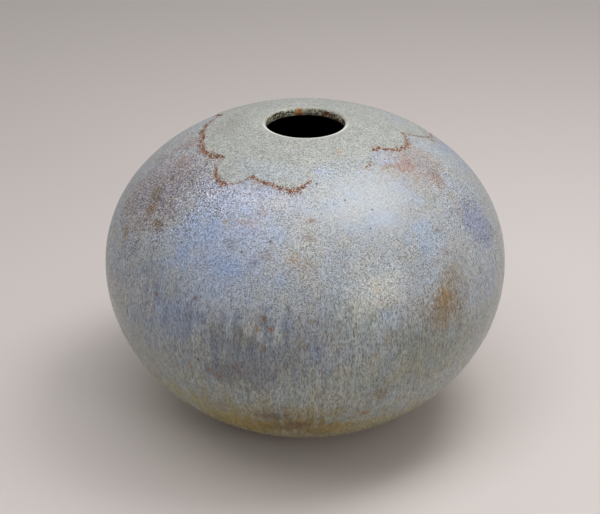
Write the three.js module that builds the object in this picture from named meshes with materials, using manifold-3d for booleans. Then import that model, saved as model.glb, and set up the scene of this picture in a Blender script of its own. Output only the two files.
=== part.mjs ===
// A squat, globular stoneware vase with a small mouth.
// Two thrown bowls are luted rim to rim at the widest line. A thrown collar makes the mouth and a
// turned ring makes the foot. A blue glaze coats the outside, a liner glaze the inside and the lip,
// and a second, paler glaze is poured over the shoulder and ends in round lobes.
// Millimetres, +Z up, origin on the table at the middle of the foot.
import * as THREE from "three";
import { mergeVertices } from "three/addons/utils/BufferGeometryUtils.js";
import Module from "manifold-3d";

// Outside form, measured over the blue glaze
const BODY_DIAMETER = 300; // at the widest line
const SHOULDER_RISE = 113; // from the widest line to where the shoulder would close
const SHOULDER_FULLNESS = 2.1; // 2 is an ellipse, more is squarer
const BELLY_DROP = 128; // from the widest line to where the belly would close
const BELLY_FULLNESS = 2;

// Clay walls
const WALL = 6;
const FLOOR = 9;
const INSIDE_FULLNESS = 2.3; // the inside bottom is flatter than the outside

// Foot ring, and the step that is turned between it and the belly
const FOOT_DIAMETER = 130;
const FOOT_HEIGHT = 6;
const FOOT_WIDTH = 9;
const FOOT_CHAMFER = 1.2;
const FOOT_STEP = 3;

// Lap joint of the two bowls: a tongue on the lower bowl stands inside the upper one
const TONGUE_HEIGHT = 8;

// Mouth collar, its rebated seat in the upper bowl, and its lip
const THROAT_DIAMETER = 58.4;
const LIP_ROUND = 1.6; // radius of the edge between the shoulder and the throat
const COLLAR_WIDTH = 12.8; // from the throat to the edge of the collar's flange
const SEAT_LEDGE = 5;

// Slip that lutes each joint. The lap joint and the collar's seat split what it leaves of the wall.
const SLIP = 0.6;

// Glaze coats
const BLUE_GLAZE = 0.6;
const LINER_GLAZE = 0.5;
const POURED_GLAZE = 0.6;
const LIP_BAND = 2.2; // width of the ring at the lip that the poured glaze leaves free
const COAT_GAP = 0.05; // clearance between a coat and what it covers
const GLAZE_LINE = 4; // bare clay left between the underside and the glaze
const GLAZE_ROLL = 0.7; // how far the thick roll at the glaze's lower edge stands out
const GLAZE_ROLL_HEIGHT = 7;

// The poured glaze seen from above: a disc round the mouth, and the lobes where it ran.
// Azimuth 0 is the front, -Y, and 90 is +X. Centre is the lobe's distance from the axis, and it
// and the lobe's radius are shares of the disc's radius.
const POUR_DISC_DIAMETER = 122;
const POUR_LOBES = [
  { azimuth: -105, centre: 0.62, radius: 0.62 },
  { azimuth: -74, centre: 0.64, radius: 0.61 },
  { azimuth: -40, centre: 1.19, radius: 0.26 },
  { azimuth: -18, centre: 0.95, radius: 0.38 },
  { azimuth: -8, centre: 1.13, radius: 0.26 },
  { azimuth: 30, centre: 0.85, radius: 0.34 },
  { azimuth: 78, centre: 0.87, radius: 0.35 },
  { azimuth: 119, centre: 1.16, radius: 0.54 },
  { azimuth: 152, centre: 1.08, radius: 0.41 },
  { azimuth: -172, centre: 0.95, radius: 0.49 },
  { azimuth: -140, centre: 1.13, radius: 0.38 },
];

// Facets
const TURN_STEPS = 40;
const BELLY_STEPS = 7;
const SHOULDER_STEPS = 7;
const LIP_STEPS = 4;
const LOBE_STEPS = 28;

const point = (radius, height) => new THREE.Vector2(radius, height);

// Evenly spaced values from one end to the other, both ends included.
function spaced(from, to, steps) {
  return Array.from({ length: steps + 1 }, (_, i) => from + ((to - from) * i) / steps);
}

// A quarter of a superellipse: the widest line is at turn 0, and the axis at a quarter turn.
function quarter(radius, rise, fullness) {
  return {
    at: (turn) =>
      point(
        radius * Math.cos(turn) ** (2 / fullness),
        rise * Math.sin(turn) ** (2 / fullness),
      ),
    turnAtRadius: (r) => Math.acos((r / radius) ** (fullness / 2)),
    turnAtRise: (z) => Math.asin((z / rise) ** (fullness / 2)),
    riseAtRadius: (r) => rise * (1 - (r / radius) ** fullness) ** (1 / fullness),
  };
}

// The line moved sideways by a distance, to its left as it is walked. A point on the axis stays on it.
function offsetLine(line, distance) {
  const mirrored = (p) => point(-p.x, p.y);
  return line.map((p, i) => {
    const last = line[i - 1] ?? (p.x === 0 ? mirrored(line[i + 1]) : p);
    const next = line[i + 1] ?? (p.x === 0 ? mirrored(line[i - 1]) : p);
    const into = point(p.x - last.x, p.y - last.y).normalize();
    const out = point(next.x - p.x, next.y - p.y).normalize();
    const along = into.clone().add(out).normalize();
    const square = into.lengthSq() && out.lengthSq() ? into.dot(along) : 1;
    return point(p.x - (along.y * distance) / square, p.y + (along.x * distance) / square);
  });
}

const clayRadius = BODY_DIAMETER / 2 - BLUE_GLAZE;
const clayRise = SHOULDER_RISE - BLUE_GLAZE;
const halfWall = (WALL - SLIP) / 2;
const footRadius = FOOT_DIAMETER / 2;
const undersideRadius = footRadius + FOOT_STEP;

const shoulderOutside = quarter(clayRadius, clayRise, SHOULDER_FULLNESS);
const bellyOutside = quarter(clayRadius, BELLY_DROP - BLUE_GLAZE, BELLY_FULLNESS);

// The belly is cut flat where it has drawn in to the underside, which sets the widest line's height.
const widestHeight = FOOT_HEIGHT + bellyOutside.riseAtRadius(undersideRadius);

const onShoulder = (curve, turn) => curve.at(turn).add(point(0, widestHeight));
const onBelly = (curve, turn) => point(curve.at(turn).x, widestHeight - curve.at(turn).y);

const shoulderInside = quarter(clayRadius - WALL, clayRise - WALL, SHOULDER_FULLNESS);
const bellyInside = quarter(
  clayRadius - WALL,
  widestHeight - FOOT_HEIGHT - FLOOR,
  INSIDE_FULLNESS,
);

// Outside of the clay, from the glaze line up to the collar's seat
const glazeLineTurn = bellyOutside.turnAtRise(widestHeight - FOOT_HEIGHT - GLAZE_LINE);
const glazeRollTurn = bellyOutside.turnAtRise(
  widestHeight - FOOT_HEIGHT - GLAZE_LINE - GLAZE_ROLL_HEIGHT,
);
const bellyLine = [
  onBelly(bellyOutside, glazeLineTurn),
  ...spaced(glazeRollTurn, 0, BELLY_STEPS).map((turn) => onBelly(bellyOutside, turn)),
];
const throatRadius = THROAT_DIAMETER / 2;
const seatRadius = throatRadius + COLLAR_WIDTH;
const shoulderLine = spaced(
  shoulderOutside.turnAtRise(SLIP),
  shoulderOutside.turnAtRadius(seatRadius + SLIP),
  SHOULDER_STEPS,
).map((turn) => onShoulder(shoulderOutside, turn));

// Outside of the collar, from its seat up to the top of the lip, then the round into the throat
const lipRadius = throatRadius + LIP_ROUND;
const shoulderHeight = (r) => widestHeight + shoulderOutside.riseAtRadius(r);
const lipHeight = shoulderHeight(lipRadius);
const collarLine = [seatRadius, lipRadius + LIP_BAND, lipRadius].map((r) =>
  point(r, shoulderHeight(r)),
);
const lipLine = spaced(0, Math.PI / 2, LIP_STEPS).map((angle) =>
  point(lipRadius - LIP_ROUND * Math.sin(angle), lipHeight - LIP_ROUND * (1 - Math.cos(angle))),
);

// Inside of the clay, from the bottom of the throat down to the floor
const ceilingHeight = (r) => widestHeight + shoulderInside.riseAtRadius(r);
const plugRadius = seatRadius - SEAT_LEDGE;
const collarInsideLine = [
  point(throatRadius, ceilingHeight(throatRadius)),
  point(plugRadius, ceilingHeight(plugRadius)),
];
const tongueTop = widestHeight + TONGUE_HEIGHT;
const ceilingLine = spaced(
  shoulderInside.turnAtRadius(plugRadius + SLIP),
  shoulderInside.turnAtRise(TONGUE_HEIGHT + SLIP),
  SHOULDER_STEPS,
).map((turn) => onShoulder(shoulderInside, turn));
const bowlInsideLine = [
  onShoulder(shoulderInside, shoulderInside.turnAtRise(TONGUE_HEIGHT)),
  ...spaced(0, Math.PI / 2, BELLY_STEPS)
    .slice(0, -1)
    .map((turn) => onBelly(bellyInside, turn)),
  point(0, FOOT_HEIGHT + FLOOR),
];

// Revolves a closed section. A ring's section is walked back to its first point.
function turned(section) {
  const onAxis = section[0].x === 0;
  const profile = onAxis ? section : [...section, section[0]];
  return new THREE.LatheGeometry(profile, TURN_STEPS).rotateX(Math.PI / 2);
}

// The ring that the pot stands on, chamfered where it meets the table.
function footRing() {
  const inner = footRadius - FOOT_WIDTH;
  const top = FOOT_HEIGHT - SLIP;
  return turned([
    point(inner + FOOT_CHAMFER, 0),
    point(footRadius - FOOT_CHAMFER, 0),
    point(footRadius, FOOT_CHAMFER),
    point(footRadius, top),
    point(inner, top),
    point(inner, FOOT_CHAMFER),
  ]);
}

function footSlip() {
  const inner = footRadius - FOOT_WIDTH;
  return turned([
    point(inner, FOOT_HEIGHT - SLIP),
    point(footRadius, FOOT_HEIGHT - SLIP),
    point(footRadius, FOOT_HEIGHT),
    point(inner, FOOT_HEIGHT),
  ]);
}

// The tongue's outer face, shared by the lower bowl, the slip and the upper bowl.
const tongueRadius = clayRadius - WALL + halfWall;

// The lower half, with the floor and the tongue of the lap joint.
function lowerBowl() {
  return turned([
    point(0, FOOT_HEIGHT),
    point(undersideRadius, FOOT_HEIGHT),
    ...bellyLine,
    point(tongueRadius, widestHeight),
    point(tongueRadius, tongueTop),
    ...bowlInsideLine,
  ]);
}

function seamSlip() {
  return turned([
    bellyLine.at(-1),
    shoulderLine[0],
    point(tongueRadius + SLIP, widestHeight + SLIP),
    point(tongueRadius + SLIP, tongueTop + SLIP),
    ceilingLine.at(-1),
    bowlInsideLine[0],
    point(tongueRadius, tongueTop),
    point(tongueRadius, widestHeight),
  ]);
}

const seatHeight = shoulderHeight(seatRadius) - halfWall;

// The upper half, thrown upside down, with the rebate that the collar drops into.
function upperBowl() {
  return turned([
    ...shoulderLine,
    point(seatRadius + SLIP, seatHeight - SLIP),
    point(plugRadius + SLIP, seatHeight - SLIP),
    ...ceilingLine,
    point(tongueRadius + SLIP, tongueTop + SLIP),
    point(tongueRadius + SLIP, widestHeight + SLIP),
  ]);
}

function collarSlip() {
  return turned([
    shoulderLine.at(-1),
    collarLine[0],
    point(seatRadius, seatHeight),
    point(plugRadius, seatHeight),
    collarInsideLine.at(-1),
    ceilingLine[0],
    point(plugRadius + SLIP, seatHeight - SLIP),
    point(seatRadius + SLIP, seatHeight - SLIP),
  ]);
}

// The collar, with a flange that sits on the ledge, a plug below it, the throat and the lip.
function mouthCollar() {
  return turned([
    ...collarLine,
    ...lipLine.slice(1),
    ...collarInsideLine,
    point(plugRadius, seatHeight),
    point(seatRadius, seatHeight),
  ]);
}

// Clay under the blue glaze, from the glaze line to the top of the lip
const glazedLine = [...bellyLine, ...shoulderLine, ...collarLine];
// The same, without the upper edge of each luted joint, which the glaze's surface levels
const glazeShownLine = [...bellyLine, ...shoulderLine.slice(1), ...collarLine.slice(1)];

// A surface at a distance over that clay, which ends straight above the top of the lip.
function overOutside(line, distance) {
  const surface = offsetLine(line, -distance);
  surface[surface.length - 1] = point(lipRadius, lipHeight + distance);
  return surface;
}

// The blue glaze, with the thick roll where it stopped running above the foot.
function blueGlaze() {
  const edge = bellyLine[0];
  const rollTurn = (glazeLineTurn + glazeRollTurn) / 2;
  const rollBed = [edge, onBelly(bellyOutside, rollTurn), bellyLine[1]];
  const roll = offsetLine(rollBed, -BLUE_GLAZE - GLAZE_ROLL)[1];
  return turned([
    point(edge.x + BLUE_GLAZE, edge.y),
    roll,
    ...overOutside(glazeShownLine, BLUE_GLAZE).slice(1),
    ...overOutside(glazedLine, COAT_GAP).toReversed(),
  ]);
}

// Clay under the liner: the lip, the throat and the whole inside
const linedLine = [...lipLine, ...collarInsideLine, ...ceilingLine, ...bowlInsideLine];
// The same, without the lower edge of each luted joint, which the liner's surface levels
const linerShownLine = [
  ...lipLine,
  ...collarInsideLine,
  ...ceilingLine.slice(1),
  ...bowlInsideLine.slice(1),
];

// A surface at a distance over that clay, which starts where the blue glaze ends.
function overInside(line, distance) {
  const surface = offsetLine(line, -distance);
  surface[0] = point(lipRadius, lipHeight + distance);
  return surface;
}

function linerGlaze() {
  return turned([
    ...overInside(linedLine, COAT_GAP).toReversed(),
    ...overInside(linerShownLine, LINER_GLAZE),
  ]);
}

const wasm = await Module();
wasm.setup();

function toSolid(geometry) {
  const bare = geometry.clone();
  bare.deleteAttribute("normal");
  bare.deleteAttribute("uv");
  const merged = mergeVertices(bare);
  const mesh = new wasm.Mesh({
    numProp: 3,
    vertProperties: merged.attributes.position.array,
    triVerts: new Uint32Array(merged.index.array),
  });
  return new wasm.Manifold(mesh);
}

function toGeometry(solid) {
  const { vertProperties, triVerts } = solid.getMesh();
  const geometry = new THREE.BufferGeometry();
  geometry.setAttribute("position", new THREE.BufferAttribute(vertProperties, 3));
  geometry.setIndex(new THREE.BufferAttribute(triVerts, 1));
  geometry.computeVertexNormals();
  return geometry;
}

const discRadius = POUR_DISC_DIAMETER / 2;

// A round post through the whole shoulder, at a lobe's place and of its radius.
function lobePost({ azimuth, centre, radius }) {
  const angle = THREE.MathUtils.degToRad(azimuth);
  const reach = radius * discRadius;
  const distance = centre * discRadius;
  return toSolid(
    new THREE.CylinderGeometry(reach, reach, 2 * lipHeight, LOBE_STEPS)
      .rotateX(Math.PI / 2)
      .translate(distance * Math.sin(angle), -distance * Math.cos(angle), lipHeight),
  );
}

// The poured glaze lies on the blue one from the lip outwards, and is cut to the lobes' outline.
function shoulderPour() {
  const bed = [...shoulderLine.slice(1), ...collarLine.slice(1)];
  const under = offsetLine(bed, -BLUE_GLAZE - COAT_GAP).slice(0, -1);
  const over = offsetLine(bed, -BLUE_GLAZE - POURED_GLAZE).slice(0, -1);
  const coat = toSolid(turned([...over, ...under.toReversed()]));
  const disc = lobePost({ azimuth: 0, centre: 0, radius: 1 });
  const outline = POUR_LOBES.reduce((spread, lobe) => spread.add(lobePost(lobe)), disc);
  return toGeometry(coat.intersect(outline));
}

const stoneware = new THREE.MeshStandardMaterial({ color: 0x8a6f57, roughness: 0.9, metalness: 0 });
const slip = new THREE.MeshStandardMaterial({ color: 0x9b8066, roughness: 0.95, metalness: 0 });
const blue = new THREE.MeshStandardMaterial({ color: 0x8f9bab, roughness: 0.45, metalness: 0 });
const pale = new THREE.MeshStandardMaterial({ color: 0xb0b5ae, roughness: 0.45, metalness: 0 });
const liner = new THREE.MeshStandardMaterial({ color: 0xb4b5a6, roughness: 0.4, metalness: 0 });

const vase = new THREE.Group();

function add(name, geometry, material) {
  const mesh = new THREE.Mesh(geometry, material);
  mesh.name = name;
  vase.add(mesh);
}

add("foot_ring", footRing(), stoneware);
add("foot_slip", footSlip(), slip);
add("lower_bowl", lowerBowl(), stoneware);
add("seam_slip", seamSlip(), slip);
add("upper_bowl", upperBowl(), stoneware);
add("collar_slip", collarSlip(), slip);
add("mouth_collar", mouthCollar(), stoneware);
add("liner_glaze", linerGlaze(), liner);
add("blue_glaze", blueGlaze(), blue);
add("shoulder_pour", shoulderPour(), pale);

export default vase;
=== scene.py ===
"""A squat stoneware vase: streaked blue glaze, a paler glaze poured over the shoulder, rust at its edge."""

import math

import bpy
import numpy as np
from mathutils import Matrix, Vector, noise


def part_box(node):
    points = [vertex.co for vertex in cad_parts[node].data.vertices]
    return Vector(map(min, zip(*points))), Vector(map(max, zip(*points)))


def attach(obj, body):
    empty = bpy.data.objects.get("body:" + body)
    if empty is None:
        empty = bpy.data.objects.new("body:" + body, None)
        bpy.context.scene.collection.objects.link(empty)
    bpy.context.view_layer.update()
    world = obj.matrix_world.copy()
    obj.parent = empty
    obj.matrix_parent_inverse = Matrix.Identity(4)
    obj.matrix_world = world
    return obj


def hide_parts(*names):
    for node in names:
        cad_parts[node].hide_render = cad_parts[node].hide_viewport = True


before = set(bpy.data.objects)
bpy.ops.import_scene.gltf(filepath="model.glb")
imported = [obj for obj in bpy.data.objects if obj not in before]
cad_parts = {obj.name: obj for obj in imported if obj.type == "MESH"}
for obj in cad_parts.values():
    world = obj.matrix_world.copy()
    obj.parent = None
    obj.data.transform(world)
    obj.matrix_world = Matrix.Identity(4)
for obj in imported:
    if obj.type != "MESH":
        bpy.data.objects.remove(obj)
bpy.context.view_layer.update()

MM = 0.001
QUARTER_TURN = math.pi / 2

# Form of the body, measured over the blue glaze
SHOULDER_RISE = 113 * MM
SHOULDER_FULLNESS = 2.1
BELLY_DROP = 128 * MM
BELLY_FULLNESS = 2.0
INSIDE_FULLNESS = 2.3

# Clay, slip and glaze
WALL = 6 * MM
FLOOR = 9 * MM
TONGUE_HEIGHT = 8 * MM
SLIP = 0.6 * MM
BLUE_GLAZE = 0.6 * MM
LINER_GLAZE = 0.5 * MM
LINER_CORNER = 3 * MM
POURED_GLAZE = 0.6 * MM
COAT_GAP = 0.05 * MM
GLAZE_ROLL = 0.7 * MM
GLAZE_ROLL_HEIGHT = 7 * MM
FOOT_WIDTH = 9 * MM
FOOT_CHAMFER = 1.2 * MM
FOOT_STEP = 3 * MM
THROAT_RADIUS = 29.2 * MM
LIP_ROUND = 1.6 * MM
LIP_BAND = 2.2 * MM
SEAT_LEDGE = 5 * MM

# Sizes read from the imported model
WIDEST_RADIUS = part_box("blue_glaze")[1].x
WIDEST_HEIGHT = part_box("seam_slip")[0].z
GLAZE_LINE_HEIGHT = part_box("blue_glaze")[0].z
LIP_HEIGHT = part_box("mouth_collar")[1].z
FOOT_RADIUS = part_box("foot_ring")[1].x
FOOT_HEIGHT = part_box("foot_slip")[1].z
SEAT_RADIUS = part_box("mouth_collar")[1].x

# Sizes that follow from these
LIP_RADIUS = THROAT_RADIUS + LIP_ROUND
UNDERSIDE_RADIUS = FOOT_RADIUS + FOOT_STEP
FOOT_INSIDE = FOOT_RADIUS - FOOT_WIDTH
FOOT_TOP = FOOT_HEIGHT - SLIP
CLAY_RADIUS = WIDEST_RADIUS - BLUE_GLAZE
CLAY_RISE = SHOULDER_RISE - BLUE_GLAZE
INSIDE_RADIUS = CLAY_RADIUS - WALL
INSIDE_RISE = CLAY_RISE - WALL
INSIDE_DROP = WIDEST_HEIGHT - FOOT_HEIGHT - FLOOR
HALF_WALL = (WALL - SLIP) / 2
PLUG_RADIUS = SEAT_RADIUS - SEAT_LEDGE
PLUG_HOLE = PLUG_RADIUS + SLIP
SEAT_HOLE = SEAT_RADIUS + SLIP
TONGUE_RADIUS = INSIDE_RADIUS + HALF_WALL
TONGUE_SLOT = TONGUE_RADIUS + SLIP
TONGUE_TOP = WIDEST_HEIGHT + TONGUE_HEIGHT
SLOT_TOP = TONGUE_TOP + SLIP

# Fineness of the meshes: steps along the lines of a section and round the vase
BOWL_STEPS = 40
COLLAR_STEPS = 16
PLUG_POINTS = 5
LIP_STEPS = 8
FOOT_EDGE_POINTS = 6
LINER_LIP_STEPS = 12
LINER_CORNER_POINTS = 9
LINER_STEPS = 48
LINER_BED_LIP_STEPS = 6
LINER_BED_STEPS = 36
BLUE_BELLY_STEPS = 100
BLUE_SHOULDER_STEPS = 90
BLUE_BED_STEPS = 20
BLUE_BED_COLLAR_STEPS = 8
COARSE = 128
MIDDLE = 192
FINE = 300
CORNER_CLEARANCE = 0.1 * MM
LANDING_CLEARANCE = 1 * MM
BED_CLEARANCE = 1 * MM
WELD_DISTANCE = 0.001 * MM
SHARP_TURNED_EDGE = math.radians(35)
SHARP_POUR_EDGE = math.radians(70)

# The poured glaze seen from above: a disc round the mouth, and lobes given as azimuth in degrees
# from the front, then distance from the axis and radius as shares of the disc's radius
POUR_DISC = 61 * MM
POUR_LOBES = [
    (-105, 0.62, 0.62),
    (-74, 0.64, 0.61),
    (-40, 1.19, 0.26),
    (-18, 0.95, 0.38),
    (-8, 1.13, 0.26),
    (30, 0.85, 0.34),
    (78, 0.87, 0.35),
    (119, 1.16, 0.54),
    (152, 1.08, 0.41),
    (-172, 0.95, 0.49),
    (-140, 1.13, 0.38),
]

# Ripples of its edge, as depth and number of waves, and the bead and the feathering of that edge
POUR_RIPPLES = [(1.6 * MM, 60), (1.0 * MM, 150)]
POUR_THINNING = 0.75
POUR_BEAD = 0.5
POUR_BEAD_PLACE = 2 * MM
POUR_BEAD_SPREAD = 1.6 * MM
POUR_ROUNDING = 1.2 * MM
POUR_FEATHERING = 5 * MM
POUR_RAMP = 4 * MM
POUR_COLUMNS = 720
POUR_ROWS = 56
POUR_BED_SKIP = 4
FAR_FROM_POUR = 1000

# How strongly rust gathers at the edge of the poured glaze, by azimuth
RUST_ALONG_EDGE = [
    (-180, 0.6),
    (-150, 0.8),
    (-125, 1.0),
    (-57, 1.0),
    (-54, 0.3),
    (-52, 0.9),
    (-40, 0.9),
    (-36, 0.2),
    (-31, 0.2),
    (-28, 0.55),
    (-20, 0.55),
    (-15, 0.75),
    (-4, 0.8),
    (2, 0.45),
    (5, 0.0),
    (32, 0.0),
    (35, 0.25),
    (42, 0.3),
    (44, 0.0),
    (50, 0.0),
    (52, 0.8),
    (90, 0.8),
    (95, 0.2),
    (112, 0.3),
    (140, 0.8),
    (180, 0.6),
]

# Floor, lamps and camera: a lamp has a name, a place, an aim, a size and a power in watts
FLOOR_REACH = 60.0
FLOOR_COLOUR = (217, 211, 209)
FLOOR_ROUGHNESS = 0.8
LAMPS = [
    ("overhead strip", (0.06, -0.08, 1.04), (0, 0, 0.1), (1.6, 0.45), 6.1),
    ("overhead softbox", (0.38, 0.01, 1.02), (0, 0, 0.1), (0.42, 0.42), 2.3),
    ("front fill", (1.08, -1.24, 0.72), (0, 0, 0.12), (0.42, 0.42), 3.0),
]
LAMP_COLOUR = (1.0, 0.98, 0.96)
WORLD_COLOUR = (1.0, 0.97, 0.95, 1.0)
WORLD_STRENGTH = 0.38
CAMERA_ELEVATION = math.radians(27.35)
CAMERA_DISTANCE = 1136.3 * MM
CAMERA_SIDE = -3.86 * MM
CAMERA_RAISE = 0.7 * MM
CAMERA_LENS = 90
CAMERA_SENSOR = 36


def tone(red, green, blue):
    """A colour on a 0 to 255 scale, as the linear values that a material takes."""
    linear = []
    for value in (red, green, blue):
        share = value / 255
        linear.append(share / 12.92 if share <= 0.04045 else ((share + 0.055) / 1.055) ** 2.4)
    return (*linear, 1.0)


# Wiring of nodes


class Value:
    """The output of a node. A sum of outputs adds the nodes that work it out."""

    def __init__(self, wiring, socket):
        self.wiring = wiring
        self.socket = socket

    def __add__(self, other):
        return self.wiring.math("ADD", self, other)

    def __sub__(self, other):
        return self.wiring.math("SUBTRACT", self, other)

    def __rsub__(self, other):
        return self.wiring.math("SUBTRACT", other, self)

    def __mul__(self, other):
        return self.wiring.math("MULTIPLY", self, other)

    def __truediv__(self, other):
        return self.wiring.math("DIVIDE", self, other)

    def __rtruediv__(self, other):
        return self.wiring.math("DIVIDE", other, self)


class Wiring:
    """Adds nodes to a tree and joins them, so that a finish reads as a list of steps."""

    def __init__(self, tree):
        self.tree = tree

    def join(self, value, socket):
        if isinstance(value, Value):
            self.tree.links.new(value.socket, socket)
        else:
            socket.default_value = value

    def add(self, kind, inputs, *outputs, **settings):
        """Adds a node, and gives the outputs that are asked for, or else its first."""
        node = self.tree.nodes.new(kind)
        for name, value in settings.items():
            setattr(node, name, value)
        for key, value in inputs.items():
            self.join(value, node.inputs[key])
        values = [Value(self, node.outputs[key]) for key in outputs or [0]]
        return values if len(values) > 1 else values[0]

    def math(self, operation, *values):
        return self.add("ShaderNodeMath", dict(enumerate(values)), operation=operation)

    def whole(self, operation, *values):
        """Arithmetic on whole numbers."""
        return self.add("FunctionNodeIntegerMath", dict(enumerate(values)), operation=operation)

    def vector(self, operation, *values):
        return self.add("ShaderNodeVectorMath", dict(enumerate(values)), operation=operation)

    def fade(self, value, start, end, low=0.0, high=1.0):
        """A smooth step from low to high as the value goes from start to end."""
        inputs = {0: value, 1: start, 2: end, 3: low, 4: high}
        return self.add("ShaderNodeMapRange", inputs, interpolation_type="SMOOTHSTEP")

    def cloud(self, place, size, detail=2.0, roughness=0.5):
        """Soft noise with lumps of about the given size."""
        inputs = {"Vector": place, "Scale": 1 / size, "Detail": detail, "Roughness": roughness}
        return self.add("ShaderNodeTexNoise", inputs)

    def frayed(self, place, size, strength):
        """Noise about nought that frays the edges of patches."""
        return (self.cloud(place, size, 4.0) - 0.5) * strength

    def cells(self, place, size):
        """Cells of the given size: the distance to their middles, and three random values for each."""
        inputs = {"Vector": place, "Scale": 1 / size}
        distance, colour = self.add("ShaderNodeTexVoronoi", inputs, "Distance", "Color")
        return distance, self.add("ShaderNodeSeparateColor", {0: colour}, 0, 1, 2)

    def blend(self, share, under, over, how="MIX"):
        inputs = {0: share, 6: under, 7: over}
        return self.add("ShaderNodeMix", inputs, 2, data_type="RGBA", blend_type=how)

    def between(self, share, start, end):
        """A value that goes from start to end as the share goes from 0 to 1."""
        return self.add("ShaderNodeMix", {0: share, 2: start, 3: end}, 0, data_type="FLOAT")

    def pick(self, share, start, end):
        """A place that is the start or the end as the share is 0 or 1."""
        return self.add("ShaderNodeMix", {0: share, 4: start, 5: end}, 1, data_type="VECTOR")


def new_tree(name, kind, inputs, outputs, wire):
    """A tree with named sockets, wired by a function that takes its inputs and gives its outputs."""
    tree = bpy.data.node_groups.new(name, kind)
    for way, sockets in (("INPUT", inputs), ("OUTPUT", outputs)):
        for label, socket in sockets.items():
            tree.interface.new_socket(label, in_out=way, socket_type="NodeSocket" + socket)
    wiring = Wiring(tree)
    given = tree.nodes.new("NodeGroupInput").outputs
    made = tree.nodes.new("NodeGroupOutput").inputs
    results = wire(wiring, *[Value(wiring, given[label]) for label in inputs])
    for label, result in zip(outputs, results):
        wiring.join(result, made[label])
    return tree


# Lines of the turned section, as points (radius, height)


def curve(radius, rise, fullness, turns):
    """Points of a superellipse from the widest line up, or down where the rise is negative."""
    line = []
    for turn in turns:
        reach = radius * math.cos(turn) ** (2 / fullness)
        line.append((reach, WIDEST_HEIGHT + rise * math.sin(turn) ** (2 / fullness)))
    return line


def turn_at_radius(radius, reach, fullness):
    return math.acos((reach / radius) ** (fullness / 2))


def turn_at_rise(rise, height, fullness):
    return math.asin((height / rise) ** (fullness / 2))


def shoulder_line(depth, start_turn, end_turn, steps):
    """The shoulder at a depth under the blue glaze's surface, between two turns."""
    turns = np.linspace(start_turn, end_turn, steps + 1)
    return curve(WIDEST_RADIUS - depth, SHOULDER_RISE - depth, SHOULDER_FULLNESS, turns)


def belly_line(depth, start_turn, end_turn, steps):
    """The belly at a depth under the blue glaze's surface, between two turns."""
    turns = np.linspace(start_turn, end_turn, steps + 1)
    return curve(WIDEST_RADIUS - depth, depth - BELLY_DROP, BELLY_FULLNESS, turns)


def inside_line(depth, steps):
    """The inside of the clay at a depth into the wall, from the throat down to the axis."""
    radius = INSIDE_RADIUS + depth
    drop = INSIDE_DROP + depth
    first = turn_at_radius(radius, THROAT_RADIUS + depth, SHOULDER_FULLNESS)
    line = curve(radius, INSIDE_RISE + depth, SHOULDER_FULLNESS, np.linspace(first, 0, steps + 1))
    line += curve(radius, -drop, INSIDE_FULLNESS, np.linspace(0, QUARTER_TURN, steps + 1)[1:])
    line[-1] = (0.0, WIDEST_HEIGHT - drop)
    return line


def height_of_curve(radius, widest, rise):
    share = (radius / widest) ** SHOULDER_FULLNESS
    return WIDEST_HEIGHT + rise * (1 - share) ** (1 / SHOULDER_FULLNESS)


def shoulder_height(radius, depth):
    """Height of the shoulder at a depth under the blue glaze's surface."""
    return height_of_curve(radius, WIDEST_RADIUS - depth, SHOULDER_RISE - depth)


def ceiling_height(radius):
    """Height of the clay's inner face, at a radius."""
    return height_of_curve(radius, INSIDE_RADIUS, INSIDE_RISE)


def clay_inside(height):
    """Inner radius of the clay at a height above the widest line."""
    share = ((height - WIDEST_HEIGHT) / INSIDE_RISE) ** SHOULDER_FULLNESS
    return INSIDE_RADIUS * (1 - share) ** (1 / SHOULDER_FULLNESS)


def collar_line(depth, steps):
    """The shoulder's last stretch, from the collar's seat to the top of the lip."""
    radii = np.linspace(SEAT_RADIUS, LIP_RADIUS, steps + 1)
    return [(radius, shoulder_height(radius, depth)) for radius in radii]


def lip_line(coat, steps):
    """The round from the top of the lip into the throat, with a coat of a thickness over the clay."""
    reach = LIP_ROUND + coat
    middle = LIP_HEIGHT - LIP_ROUND
    line = []
    for angle in np.linspace(0, QUARTER_TURN, steps + 1):
        line.append((LIP_RADIUS - reach * math.sin(angle), middle + reach * math.cos(angle)))
    return line


def cut_line(line, low, high):
    """The part of a line between two heights."""
    return [place for place in line if low <= place[1] <= high]


SEAM_TURN = turn_at_rise(CLAY_RISE, SLIP, SHOULDER_FULLNESS)
SEAT_HEIGHT = shoulder_height(SEAT_RADIUS, BLUE_GLAZE) - HALF_WALL
LEDGE_HEIGHT = SEAT_HEIGHT - SLIP


# Sections of the turned pieces, each walked against the clock as seen from -Y


def foot_ring_section():
    """The ring that the vase stands on, with both lower edges rounded by the sponge."""
    rounding = []
    for angle in np.linspace(0, QUARTER_TURN, FOOT_EDGE_POINTS):
        rounding.append((FOOT_CHAMFER * (1 - math.cos(angle)), FOOT_CHAMFER * (1 - math.sin(angle))))
    section = [(FOOT_INSIDE, FOOT_TOP)]
    section += [(FOOT_INSIDE + inward, height) for inward, height in rounding]
    section += [(FOOT_RADIUS - inward, height) for inward, height in rounding[::-1]]
    return [*section, (FOOT_RADIUS, FOOT_TOP)]


def foot_slip_section():
    """Slip between the foot ring and the underside."""
    low = [(FOOT_INSIDE, FOOT_TOP), (FOOT_RADIUS, FOOT_TOP)]
    return [*low, (FOOT_RADIUS, FOOT_HEIGHT), (FOOT_INSIDE, FOOT_HEIGHT)]


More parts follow.
